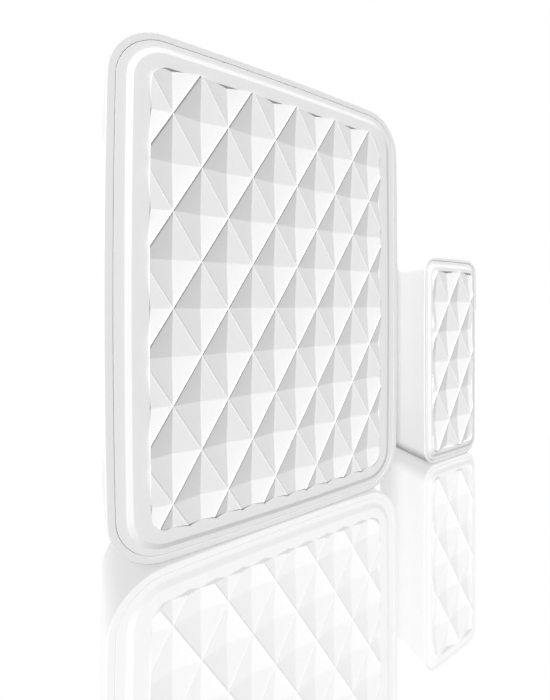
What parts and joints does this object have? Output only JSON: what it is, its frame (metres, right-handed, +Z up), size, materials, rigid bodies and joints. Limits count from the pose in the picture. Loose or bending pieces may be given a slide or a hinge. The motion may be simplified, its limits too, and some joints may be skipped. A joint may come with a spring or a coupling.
{
  "type": "door and window sensor",
  "caption": "Wireless door and window sensor: a battery unit with reed switch and a slim magnet unit, each in a white snap-fit case with a diamond relief on its front.",
  "frame": {"origin": "middle of the sensor unit's adhesive back, on the wall", "axes": "+Z up, +X from the sensor unit towards the magnet unit, +Y into the wall; fronts face -Y"},
  "size_m": [0.0815, 0.0164, 0.072],
  "materials": {
    "housing_white": "fine moulded satin",
    "cover_white": "fine moulded satin",
    "adhesive_foam": "foam tape",
    "board_green": "solder mask",
    "radio_board_blue": "solder mask",
    "shield_tin": "tinned sheet",
    "contact_nickel": "nickel plated spring steel",
    "screw_steel": "zinc plated",
    "glass_tube": "clear glass",
    "lead_tin": "tinned wire",
    "copper_trace": "gold flashed copper",
    "chip_black": "moulded epoxy",
    "crystal_case": "drawn can",
    "capacitor_can": "bare can",
    "chip_ceramic": "fired ceramic",
    "led_lens": "clear epoxy",
    "switch_black": "moulded",
    "button_white": "moulded",
    "plunger_red": "moulded",
    "cell_jacket": "shrink sleeve",
    "magnet_nickel": "nickel plated magnet"
  },
  "bodies": {
    "sensor_base": {"back_housing": "housing_white", "sensor_adhesive_pad": "adhesive_foam", "main_board": "board_green", "board_screws": "screw_steel", "reed_glass": "glass_tube", "reed_leads": "lead_tin", "radio_module_board": "radio_board_blue", "radio_shield": "shield_tin", "printed_antenna": "copper_trace", "controller_chip": "chip_black", "crystal_can": "crystal_case", "reservoir_capacitor": "capacitor_can", "chip_components": "chip_ceramic", "status_led": "led_lens", "pair_switch_body": "switch_black", "tamper_switch_body": "switch_black", "battery_cell_left": "cell_jacket", "battery_cell_right": "cell_jacket", "battery_bridge_contact": "contact_nickel", "negative_spring_contact": "contact_nickel", "positive_contact": "contact_nickel"},
    "front_cover": {"front_cover": "cover_white"},
    "pair_button": {"pair_button": "button_white"},
    "tamper_plunger": {"tamper_plunger": "plunger_red"},
    "magnet_base": {"magnet_base": "housing_white", "bar_magnet": "magnet_nickel", "magnet_adhesive_pad": "adhesive_foam"},
    "magnet_cover": {"magnet_cover": "cover_white"}
  },
  "joints": [
    {"name": "cover_release", "type": "slide", "parent": "sensor_base", "child": "front_cover", "axis": [0, -1, 0], "range_m": [0, 0.025]},
    {"name": "tamper_rise", "type": "slide", "parent": "sensor_base", "child": "tamper_plunger", "axis": [0, -1, 0], "range_m": [0, 0.0006]},
    {"name": "pair_press", "type": "slide", "parent": "sensor_base", "child": "pair_button", "axis": [0, 1, 0], "range_m": [0, 0.00025], "stiffness_N_per_m": 600},
    {"name": "magnet_travel", "type": "slide", "parent": "sensor_base", "child": "magnet_base", "axis": [1, 0, 0], "range_m": [-0.006, 0.06]},
    {"name": "magnet_cover_release", "type": "slide", "parent": "magnet_base", "child": "magnet_cover", "axis": [0, -1, 0], "range_m": [0, 0.015]}
  ],
  "couplings": [
    {"joint": "tamper_rise", "follows": "cover_release", "ratio": 0.02}
  ]
}
